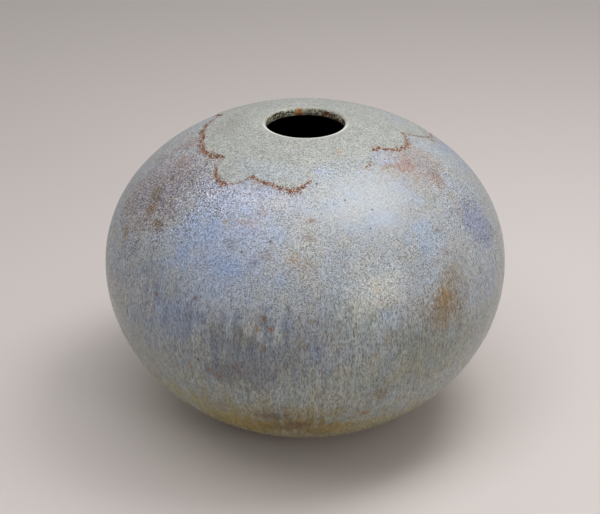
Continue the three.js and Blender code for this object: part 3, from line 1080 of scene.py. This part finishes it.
# Stains in the throat, by azimuth and reach in degrees, share and colour
THROAT_STAINS = [
    (122, 62, 0.6, (84, 50, 28)),
    (94, 26, 0.85, (62, 40, 27)),
    (-92, 22, 0.75, (84, 58, 38)),
    (-125, 44, 0.55, (62, 50, 30)),
    (152, 18, 0.6, (104, 66, 38)),
    (-171, 7, 0.95, (200, 126, 38)),
    (20, 40, 0.6, (110, 84, 58)),
]

# Strength of the blue glaze's texture, and the parts where it is livelier or quieter
TEXTURE = 0.55
LIVELIER = 0.8
QUIETER = 0.32
SIDES_LIVELIER = 0.3
CALM_WHERE_RAN = 0.7
LIVELY_PART = (-66, 54, 78, 60)
QUIET_PART = (28, 48, 62, 44)
LEFT_SIDE = (-72, 82, 60, 44)
RIGHT_SIDE = (70, 64, 44, 60)

# Where the blue glaze ran: dips of the ragged line, of the dull belly and of the rim above the foot,
# how far they wander, and how the pattern is drawn out
RUN_DIP = 75.0
RUN_FRINGE = 60.0
RUN_FRINGE_SIZE = 3.0
DIP_WANDER = 26.0
BELLY_DIPS = (78.0, 98.0)
RIM_DIPS = (117.0, 125.0)
RIM_FRAY = 4.0
RIM_RUN_DEPTH = 1.8
SHORT_RUN = (1.0, 1.0, 0.3)
LONG_RUN = (1.0, 1.0, 0.1)
STREAK_SIZE = 1.3
STREAK_DEPTH = 0.75
STREAK_LEVEL = 1.06

# Tones that a finish wanders between, and colours laid over them, on a 0 to 255 scale
BLUE_TONES = ((159, 163, 166), (161, 169, 177))
POUR_TONES = ((159, 163, 160), (166, 170, 167))
LINER_TONES = ((204, 206, 188), (170, 173, 154))
STONEWARE_TONES = ((128, 100, 74), (160, 130, 100))
SLIP_TONES = ((140, 110, 84), (168, 138, 108))
DULL_BELLY = (140, 145, 139)
RIM_OCHRE = (144, 135, 98)
BLUE_RUSTY_GRAIN = (134, 115, 90)
POUR_RUSTY_GRAIN = (138, 122, 100)
BLUE_SPECK = (56, 56, 60)
POUR_SPECK = (72, 76, 76)
LINER_SPECK = (70, 58, 42)
CLAY_SPECK = (70, 46, 32)
PALE_GROG = (196, 176, 150)
MOUTH_GREY = (164, 168, 164)
LIP_GREY = (158, 162, 158)
# Pale glaze thinned on the lip, laid only at its front, where it is also a painted highlight
PALE_LIP_AND_HIGHLIGHT = (216, 217, 213)
# Painted shade: near black down inside the vase, where little light reaches
INSIDE_PAINTED_SHADE = (24, 20, 17)

# Shares that these colours cover
BELLY_COVER = 0.85
RIM_COVER = 0.85
BLUE_RUSTY_COVER = 0.7
POUR_RUSTY_COVER = 0.6
POUR_SPECK_COVER = 0.4
LINER_SPECK_COVER = 0.6
CLAY_SPECK_COVER = 0.7
GROG_COVER = 0.6
LIP_GREY_COVER = 0.7
# Faint halo round each pinhole's painted shade
PINHOLE_SHADE_HALO = 0.08

# Clouds that the tones follow: size in millimetres, detail and, for the clay, roughness
CLOUD_RANGE = (0.3, 0.7)
LINER_CLOUD_RANGE = (0.35, 0.65)
BLUE_CLOUD = (34.0, 3.0)
RIM_CLOUD = (7.0, 3.0)
POUR_CLOUD = (16.0, 3.0)
LINER_CLOUD = (7.0, 4.0)
CLAY_CLOUD = (14.0, 5.0, 0.6)
CLAY_GRIT = (0.9, 3.0, 0.7)

# Ragged edges of marks: size in millimetres and strength
SOFT_EDGE = (11.0, 1.2)
BELLY_EDGE = (5.0, 1.6)
STAIN_EDGE = (3.0, 1.6)
SPOT_EDGE = (1.3, 2.2)
PINHOLE_SHADE_EDGE = (1.3, 0.6)
POUR_EDGE = (8.0, 1.0)
POUR_SPOT_EDGE = (1.3, 1.6)

# Specks: spacing in millimetres, share of the places that hold one, size as a share of the spacing
BLUE_SPECKS = (1.5, 0.9, 0.4)
POUR_SPECKS = (1.8, 0.8, 0.38)
LINER_SPECKS = (2.6, 0.8, 0.34)
CLAY_SPECKS = (3.2, 0.3, 0.2)
GROG = (2.6, 0.3, 0.22)
GROG_SHIFT = (17.0, 5.0, 23.0)

# Warm and cool tints: size in millimetres and share
WIDE_TINTS = (15.0, 0.3)
FINE_TINTS = (2.4, 0.25)
POUR_TINTS = (4.0, 0.15)

# Sizes of grains in millimetres, depths of their shades, and shares of grains that are rusty
BLUE_GRAIN = 0.5
BLUE_GRAIN_DEPTH = 3.9
BLUE_RUSTY_SHARE = 0.17
BLUE_LUMP = 2.0
BLUE_LUMP_DEPTH = 0.1
BLUE_LUMP_SHIFT = (31.0, 7.0, 11.0)
IRON_GRAIN = 0.65
POUR_GRAIN = 0.6
POUR_GRAIN_DEPTH = 1.8
POUR_RUSTY_SHARE = 0.08
POUR_LUMP = 2.0
POUR_LUMP_DEPTH = 0.25
LINER_GRAIN = 1.1
LINER_GRAIN_DEPTH = 1.6
CLAY_GRAIN = 0.9
CLAY_GRAIN_DEPTH = 0.8

# Reach in millimetres of the rust outside and inside the pour's edge
RUST_OUTSIDE = 4.2
RUST_INSIDE = 2.2

# Bounds in millimetres: radii of the grey round the mouth, then depths below the lip; the pale lip holds a
# painted highlight at its front, and the dark inside is painted shade
MOUTH_GREY_RADII = (37.0, 34.0)
THIN_LIP_HIGHLIGHT_RADII = (1.1, 0.2)
LIP_GREY_DEPTHS = (1.2, 0.2)
LIP_HIGHLIGHT_DEPTHS = (0.9, 0.3)
INSIDE_SHADE_DEPTHS = (3.4, 8.0)
INSIDE_SHADE_WAVER = 6.0
THROAT_STAIN_DEPTHS = (-0.2, 1.4)
THROAT_STAIN_EDGE = 2.6

# Roughness, and strength and depth of the fine relief
BLUE_ROUGHNESS = (0.45, 0.36)
BELLY_SMOOTHER = 0.12
RUST_ROUGHER = 0.2
POUR_ROUGHNESS = (0.52, 0.4)
LINER_ROUGHNESS = (0.5, 0.6)
CLAY_ROUGHNESS = (0.92, 0.78)
GLAZE_RELIEF = (0.35, 0.12)
LINER_RELIEF = (0.3, 0.1)
CLAY_RELIEF = (0.5, 0.15)


def blue_glaze_finish():
    """Grey-blue glaze: broad drifts of colour, fine grain above, streaks below, iron stains."""
    glaze = Finish("speckled blue glaze")
    place = glaze.place
    short_run = glaze.vector("MULTIPLY", glaze.flow, SHORT_RUN)
    long_run = glaze.vector("MULTIPLY", glaze.flow, LONG_RUN)
    soft_edge = ragged_edge(glaze, place, *SOFT_EDGE)
    drift = glaze.cloud(place, *BLUE_CLOUD)
    wandering_dip = (drift - 0.5) * DIP_WANDER + glaze.dip
    low = glaze.fade(wandering_dip, *BELLY_DIPS)

    # Grain: below a ragged line the glaze ran, which draws its grains out downwards
    fringe = glaze.cloud(place, RUN_FRINGE_SIZE) - 0.5
    ran = glaze.math("GREATER_THAN", fringe * RUN_FRINGE + wandering_dip, RUN_DIP)
    grain_place = glaze.pick(ran, place, short_run)
    shade, tint, _ = grains(glaze, grain_place, BLUE_GRAIN)
    lump_shade, _, _ = grains(glaze, glaze.vector("ADD", grain_place, BLUE_LUMP_SHIFT), BLUE_LUMP)

    # Broad colour, with two pale drifts that are painted highlight
    colour = glaze.base(drift, CLOUD_RANGE, *BLUE_TONES)
    colour = glaze.lay_drifts(colour, DRIFTS_AND_HIGHLIGHTS, soft_edge)
    colour = glaze.lay(colour, low * BELLY_COVER, DULL_BELLY)
    colour = glaze.lay_drifts(colour, BELLY_DRIFTS, soft_edge + ragged_edge(glaze, long_run, *BELLY_EDGE))

    # Ochre and brown where the glaze thins above the foot
    run_edge = soft_edge + (glaze.cloud(long_run, *RIM_CLOUD) - 0.5) * RIM_RUN_DEPTH
    rim = glaze.fade(glaze.dip - run_edge * RIM_FRAY, *RIM_DIPS)
    colour = glaze.lay(colour, rim * RIM_COVER, RIM_OCHRE)
    colour = glaze.lay_drifts(colour, FOOT_DRIFTS, run_edge)

    # How lively the texture is: strong on the left, quiet right of the middle, calmer where it ran
    parts = (LIVELY_PART, QUIET_PART, LEFT_SIDE, RIGHT_SIDE)
    lively, quiet, left, right = [glaze.patch(part, soft_edge)[0] for part in parts]
    sides = glaze.math("MAXIMUM", left, right)
    strength = lively * LIVELIER + TEXTURE + sides * SIDES_LIVELIER - quiet * QUIETER
    strength = strength * glaze.between(ran, 1.0, CALM_WHERE_RAN)

    # Iron stains, tints, the shade of each grain, streaks, dark dots
    _, _, chance = grains(glaze, place, IRON_GRAIN)
    colour = glaze.lay_stains(colour, STAINS, ragged_edge(glaze, place, *STAIN_EDGE), chance)
    rusty = glaze.fade(tint, strength * BLUE_RUSTY_SHARE, 0.0)
    colour = glaze.lay(colour, rusty * BLUE_RUSTY_COVER, BLUE_RUSTY_GRAIN)
    colour = warm_and_cool(glaze, colour, place, *WIDE_TINTS)
    colour = warm_and_cool(glaze, colour, glaze.pick(ran, place, long_run), *FINE_TINTS)
    colour = grained(glaze, colour, shade, strength * BLUE_GRAIN_DEPTH)
    colour = grained(glaze, colour, lump_shade, strength * BLUE_LUMP_DEPTH)
    streaks = (glaze.cloud(long_run, STREAK_SIZE) - 0.5) * ran * STREAK_DEPTH + STREAK_LEVEL
    colour = glaze.blend(1.0, colour, streaks, "MULTIPLY")
    dots = specks(glaze, grain_place, *BLUE_SPECKS) * strength
    colour = glaze.lay(colour, dots, BLUE_SPECK)

    # Single marks, pinholes whose dark is painted shade, the glaze thinned at the lip and paler at its front
    # as a painted highlight, and the rust round the poured glaze
    colour = glaze.lay_spots(colour, IRON_SPOTS, ragged_edge(glaze, place, *SPOT_EDGE))
    # Painted shade: pinholes as dark spots with a faint halo
    colour = glaze.lay_spots(colour, PINHOLE_SHADE_SPOTS, ragged_edge(glaze, place, *PINHOLE_SHADE_EDGE), PINHOLE_SHADE_HALO)
    colour = glaze.lay(colour, glaze.fade(glaze.radius, *MOUTH_GREY_RADII), MOUTH_GREY)
    # Painted highlight: the lip's pale glaze is laid at the front only
    thin_lip_highlight = glaze.fade(glaze.radius - LIP_RADIUS / MM, *THIN_LIP_HIGHLIGHT_RADII)
    colour = glaze.lay(colour, thin_lip_highlight * glaze.lip_highlight_share, PALE_LIP_AND_HIGHLIGHT)
    colour, rust = glaze.lay_rust(colour, "pour_gap", RUST_OUTSIDE)

    satin = glaze.fade(lump_shade, 0.0, 1.0, *BLUE_ROUGHNESS) - low * BELLY_SMOOTHER + rust * RUST_ROUGHER
    height = glaze.cloud(grain_place, 1.5) * 0.6 + glaze.cloud(place, 6.0) * 1.6 - dots * 0.5
    return glaze.done(colour, satin, height, *GLAZE_RELIEF)


def poured_glaze_finish():
    """Pale sage glaze with fine dark specks, bluer in the front lobes, rusty along its edge."""
    glaze = Finish("pale poured glaze")
    place = glaze.place
    drift = glaze.cloud(place, *POUR_CLOUD)
    colour = glaze.base(drift, CLOUD_RANGE, *POUR_TONES)
    colour = glaze.lay_drifts(colour, POUR_DRIFTS, ragged_edge(glaze, place, *POUR_EDGE))
    colour = warm_and_cool(glaze, colour, place, *POUR_TINTS)
    shade, tint, _ = grains(glaze, place, POUR_GRAIN)
    rusty = glaze.fade(tint, POUR_RUSTY_SHARE, 0.0)
    colour = glaze.lay(colour, rusty * POUR_RUSTY_COVER, POUR_RUSTY_GRAIN)
    colour = grained(glaze, colour, shade, POUR_GRAIN_DEPTH)
    colour = glaze.lay(colour, specks(glaze, place, *POUR_SPECKS) * POUR_SPECK_COVER, POUR_SPECK)
    lump_shade, _, _ = grains(glaze, place, POUR_LUMP)
    colour = grained(glaze, colour, lump_shade, POUR_LUMP_DEPTH)
    colour = glaze.lay_spots(colour, POUR_SPOTS, ragged_edge(glaze, place, *POUR_SPOT_EDGE))
    colour, rust = glaze.lay_rust(colour, "edge_gap", RUST_INSIDE)
    satin = glaze.fade(drift, *CLOUD_RANGE, *POUR_ROUGHNESS) + rust * RUST_ROUGHER
    height = glaze.cloud(place, 1.5) * 0.6 + glaze.cloud(place, 5.0)
    return glaze.done(colour, satin, height, *GLAZE_RELIEF)


def throat_stain(glaze, below_lip, azimuth, reach, share):
    """A stain of single grains in the throat, which ends below the lip."""
    turned_by = glaze.math("WRAP", glaze.azimuth - azimuth, 180.0, -180.0)
    apart = glaze.math("ABSOLUTE", turned_by)
    apart = apart + ragged_edge(glaze, glaze.place, THROAT_STAIN_EDGE, 1.6 * reach)
    deep = glaze.fade(below_lip, *THROAT_STAIN_DEPTHS, 0.0, share)
    density = glaze.fade(apart, reach, 0.4 * reach) * deep
    _, _, chance = grains(glaze, glaze.place, LINER_GRAIN)
    return glaze.fade(density - chance, -0.1, 0.1)


def liner_glaze_finish():
    """Pale celadon on the lip and in the throat, specked and stained with iron, with a painted highlight at
    the lip's front and painted shade darkening it down inside.
    """
    glaze = Finish("pale liner glaze")
    place = glaze.place
    below_lip = LIP_HEIGHT / MM - glaze.height
    cloud = glaze.cloud(place, *LINER_CLOUD)
    colour = glaze.base(cloud, LINER_CLOUD_RANGE, *LINER_TONES)
    shade, _, _ = grains(glaze, place, LINER_GRAIN)
    colour = grained(glaze, colour, shade, LINER_GRAIN_DEPTH)
    colour = glaze.lay(colour, specks(glaze, place, *LINER_SPECKS) * LINER_SPECK_COVER, LINER_SPECK)
    for *mark, stain in THROAT_STAINS:
        colour = glaze.lay(colour, throat_stain(glaze, below_lip, *mark), stain)
    colour = glaze.lay(colour, glaze.fade(below_lip, *LIP_GREY_DEPTHS) * LIP_GREY_COVER, LIP_GREY)
    # Painted highlight: the lip's front made paler
    colour = glaze.lay(colour, glaze.fade(below_lip, *LIP_HIGHLIGHT_DEPTHS) * glaze.lip_highlight_share, PALE_LIP_AND_HIGHLIGHT)
    # Painted shade: the inside turns near black below the lip, along a wavering line
    wavering = (cloud - 0.5) * INSIDE_SHADE_WAVER + below_lip
    colour = glaze.lay(colour, glaze.fade(wavering, *INSIDE_SHADE_DEPTHS), INSIDE_PAINTED_SHADE)
    roughness = glaze.fade(cloud, *CLOUD_RANGE, *LINER_ROUGHNESS)
    return glaze.done(colour, roughness, cloud, *LINER_RELIEF)


def stoneware_finish(name, tones):
    """Bare fired clay with fine grog and iron specks."""
    clay = Finish(name)
    place = clay.place
    colour = clay.base(clay.cloud(place, *CLAY_CLOUD), CLOUD_RANGE, *tones)
    shade, _, _ = grains(clay, place, CLAY_GRAIN)
    colour = grained(clay, colour, shade, CLAY_GRAIN_DEPTH)
    colour = clay.lay(colour, specks(clay, place, *CLAY_SPECKS) * CLAY_SPECK_COVER, CLAY_SPECK)
    grog = specks(clay, clay.vector("ADD", place, GROG_SHIFT), *GROG)
    colour = clay.lay(colour, grog * GROG_COVER, PALE_GROG)
    grit = clay.cloud(place, *CLAY_GRIT)
    roughness = clay.fade(grit, *CLOUD_RANGE, *CLAY_ROUGHNESS)
    return clay.done(colour, roughness, grog * 0.5 + grit, *CLAY_RELIEF)


# The pieces

BLUE = blue_glaze_finish()
POURED = poured_glaze_finish()
LINER = liner_glaze_finish()
STONEWARE = stoneware_finish("bare stoneware", STONEWARE_TONES)
JOINING_SLIP = stoneware_finish("joining slip", SLIP_TONES)


def add_turned(name, section, steps_round, material, node):
    piece = turned(name, section, steps_round, material)
    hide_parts(node)
    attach(piece, "root")
    return piece


add_turned("foot_ring_clay", foot_ring_section(), MIDDLE, STONEWARE, "foot_ring")
add_turned("foot_slip_line", foot_slip_section(), MIDDLE, JOINING_SLIP, "foot_slip")
add_turned("lower_bowl_clay", lower_bowl_section(), MIDDLE, STONEWARE, "lower_bowl")
add_turned("seam_slip_ring", seam_slip_section(), COARSE, JOINING_SLIP, "seam_slip")
add_turned("upper_bowl_clay", upper_bowl_section(), COARSE, STONEWARE, "upper_bowl")
add_turned("collar_slip_ring", collar_slip_section(), COARSE, JOINING_SLIP, "collar_slip")
add_turned("mouth_collar_clay", mouth_collar_section(), COARSE, STONEWARE, "mouth_collar")
add_turned("liner_glaze_coat", liner_section(), MIDDLE, LINER, "liner_glaze")
blue_coat = add_turned("blue_glaze_coat", blue_glaze_section(), FINE, BLUE, "blue_glaze")
store_pour_distance(blue_coat.data)

pour_mesh = poured_glaze_mesh()
pour_mesh.materials.append(POURED)
pour_coat = new_object("poured_glaze_coat", pour_mesh)
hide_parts("shoulder_pour")
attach(pour_coat, "root")


# Floor, light and camera


def add_floor():
    """A level sheet of pale paper that the vase stands on."""
    mesh = bpy.data.meshes.new("floor")
    low, high = -FLOOR_REACH, FLOOR_REACH
    mesh.from_pydata([(low, low, 0), (high, low, 0), (high, high, 0), (low, high, 0)], [], [(0, 1, 2, 3)])
    material = bpy.data.materials.new("pale paper")
    material.use_nodes = True
    shader = material.node_tree.nodes["Principled BSDF"]
    shader.inputs["Base Color"].default_value = tone(*FLOOR_COLOUR)
    shader.inputs["Roughness"].default_value = FLOOR_ROUGHNESS
    mesh.materials.append(material)
    floor = new_object("floor", mesh)


def add_softbox(name, place, aim, size, power):
    lamp = bpy.data.lights.new(name, "AREA")
    lamp.shape = "RECTANGLE"
    lamp.size, lamp.size_y = size
    lamp.energy = power
    lamp.color = LAMP_COLOUR
    made = new_object(name, lamp)
    made.location = place
    made.rotation_euler = (Vector(aim) - Vector(place)).to_track_quat("-Z", "Y").to_euler()


def add_camera():
    """A long lens in front of the vase, looking down at its widest line."""
    back = Vector((0, -math.cos(CAMERA_ELEVATION), math.sin(CAMERA_ELEVATION)))
    up = Vector((0, math.sin(CAMERA_ELEVATION), math.cos(CAMERA_ELEVATION)))
    aim = Vector((CAMERA_SIDE, 0, WIDEST_HEIGHT)) + up * CAMERA_RAISE
    lens = bpy.data.cameras.new("camera")
    lens.lens = CAMERA_LENS
    lens.sensor_width = CAMERA_SENSOR
    camera = new_object("camera", lens)
    camera.location = aim + back * CAMERA_DISTANCE
    camera.rotation_euler = (-back).to_track_quat("-Z", "Y").to_euler()
    bpy.context.scene.camera = camera


add_floor()
for lamp in LAMPS:
    add_softbox(*lamp)
add_camera()

world = bpy.data.worlds.new("studio")
bpy.context.scene.world = world
world.use_nodes = True
world.node_tree.nodes["Background"].inputs["Color"].default_value = WORLD_COLOUR
world.node_tree.nodes["Background"].inputs["Strength"].default_value = WORLD_STRENGTH
bpy.context.scene.view_settings.view_transform = "Standard"
